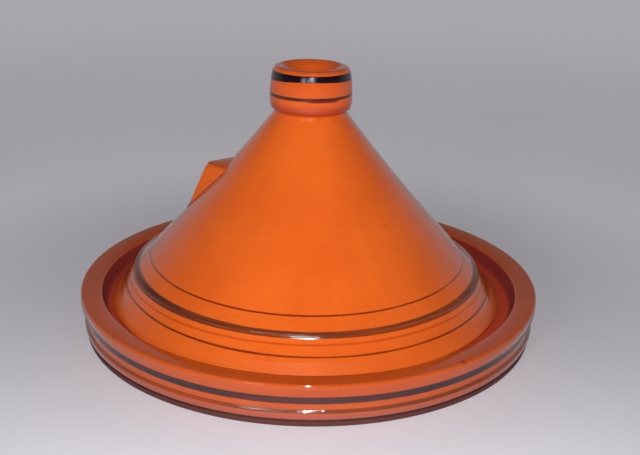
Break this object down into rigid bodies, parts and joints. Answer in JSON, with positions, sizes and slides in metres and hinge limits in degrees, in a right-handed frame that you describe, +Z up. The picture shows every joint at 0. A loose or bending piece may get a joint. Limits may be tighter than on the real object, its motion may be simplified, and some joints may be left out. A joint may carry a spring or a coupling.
{
  "type": "tagine pot",
  "caption": "Round shallow glazed earthenware tagine dish with a separate conical lid, topped by a cupped knob and carrying a small side lug.",
  "frame": {"origin": "on the dish axis at table level, under the middle of the dish", "axes": "+Z up along the dish axis; -Y is the side seen from the front; the lid's side lug points to -X and a little to +Y"},
  "size_m": [0.32, 0.32, 0.1831],
  "materials": {
    "dish_glaze": "gloss",
    "lid_glaze": "gloss"
  },
  "bodies": {
    "dish": {"dish": "dish_glaze"},
    "lid": {"lid_cone": "lid_glaze", "lid_knob": "lid_glaze", "lid_lug": "lid_glaze"}
  },
  "joints": [
    {"name": "lid_lift", "type": "slide", "parent": "dish", "child": "lid", "axis": [0, 0, 1], "range_m": [0, 0.2]}
  ]
}
